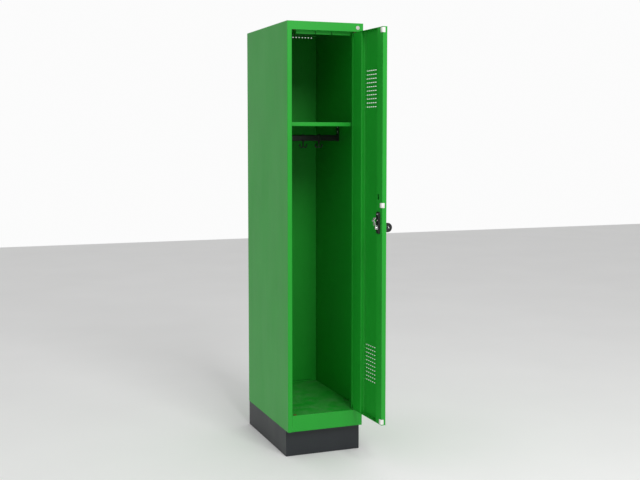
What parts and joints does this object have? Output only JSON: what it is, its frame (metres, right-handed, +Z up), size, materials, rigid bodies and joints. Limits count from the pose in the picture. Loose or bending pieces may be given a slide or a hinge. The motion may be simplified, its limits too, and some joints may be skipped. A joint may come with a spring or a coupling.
{
  "type": "school locker",
  "caption": "Tall narrow steel locker on a dark plinth, hinged door with vent slots and turn lock standing open, hat shelf and coat rail with sliding hooks inside.",
  "frame": {"origin": "on the floor, in the middle of the plinth's front bottom flange, on the locker's centre line", "axes": "+Z up, -Y towards the user in front of the locker, +X to the hinge side (the user's right)"},
  "size_m": [0.3229, 0.7417, 1.625],
  "materials": {
    "green_paint": "semi-gloss powder coat, fine orange peel",
    "anthracite_paint": "satin powder coat",
    "black_plastic": "moulded, fine grain",
    "white_plastic": "moulded",
    "grey_plastic": "moulded",
    "brown_plastic": "moulded",
    "zinc": "zinc plated"
  },
  "bodies": {
    "cabinet": {"side_panel_left": "green_paint", "side_panel_right": "green_paint", "roof_panel": "green_paint", "floor_panel": "green_paint", "back_panel": "green_paint", "hat_shelf": "green_paint", "plinth_front": "anthracite_paint", "plinth_rear": "anthracite_paint", "plinth_left": "anthracite_paint", "plinth_right": "anthracite_paint", "coat_rail": "black_plastic", "rail_bracket_left": "black_plastic", "rail_bracket_right": "black_plastic", "frame_cap": "grey_plastic", "pivot_bush_top": "brown_plastic", "pivot_bush_bottom": "brown_plastic", "plinth_bolt_1": "zinc", "plinth_nut_1": "zinc", "plinth_bolt_2": "zinc", "plinth_nut_2": "zinc", "plinth_bolt_3": "zinc", "plinth_nut_3": "zinc", "plinth_bolt_4": "zinc", "plinth_nut_4": "zinc"},
    "door": {"door_panel": "green_paint", "lock_channel": "green_paint", "hinge_channel": "green_paint", "lock_case": "black_plastic", "lock_rosette": "black_plastic", "buffer_bottom": "white_plastic", "buffer_middle": "white_plastic", "buffer_top": "white_plastic", "pivot_pin_top": "zinc", "pivot_pin_bottom": "zinc"},
    "lock": {"lock_knob": "black_plastic", "lock_spindle": "zinc", "lock_cam": "zinc", "cam_nut": "zinc"},
    "hook_left": {"coat_hook_left": "black_plastic"},
    "hook_middle": {"coat_hook_middle": "black_plastic"},
    "hook_right": {"coat_hook_right": "black_plastic"}
  },
  "joints": [
    {"name": "door_hinge", "type": "hinge", "parent": "cabinet", "child": "door", "pos_m": [0.1195, -0.0335, 0.877], "axis": [0, 0, 1], "range_deg": [-92.5, 13.5]},
    {"name": "lock_turn", "type": "hinge", "parent": "door", "child": "lock", "pos_m": [0.13817, -0.2549, 0.8785], "axis": [0.999, 0.0436, 0], "range_deg": [0, 90]},
    {"name": "hook_slide_left", "type": "slide", "parent": "cabinet", "child": "hook_left", "axis": [1, 0, 0], "range_m": [-0.015, 0.015]},
    {"name": "hook_slide_middle", "type": "slide", "parent": "cabinet", "child": "hook_middle", "axis": [1, 0, 0], "range_m": [-0.015, 0.015]},
    {"name": "hook_slide_right", "type": "slide", "parent": "cabinet", "child": "hook_right", "axis": [1, 0, 0], "range_m": [-0.015, 0.015]}
  ]
}
